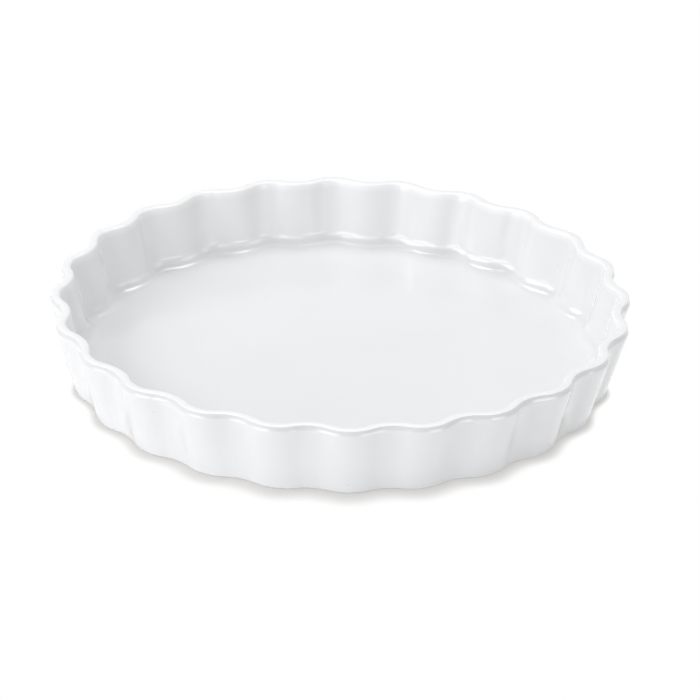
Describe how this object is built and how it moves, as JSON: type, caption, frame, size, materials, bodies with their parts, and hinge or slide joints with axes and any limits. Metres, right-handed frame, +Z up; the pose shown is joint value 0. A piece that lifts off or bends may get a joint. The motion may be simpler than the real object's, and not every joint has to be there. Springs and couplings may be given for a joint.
{
  "type": "quiche dish",
  "caption": "Round glazed porcelain baking dish with a fluted wall that leans out, a rounded lip and a low foot ring, for quiches and tarts.",
  "frame": {"origin": "centre of the foot ring's underside, where the dish stands", "axes": "+Z up along the dish's axis, +X through a flute crest"},
  "size_m": [0.28, 0.28, 0.037],
  "materials": {
    "porcelain": "gloss"
  },
  "bodies": {
    "root": {"quiche_dish": "porcelain"}
  },
  "joints": []
}
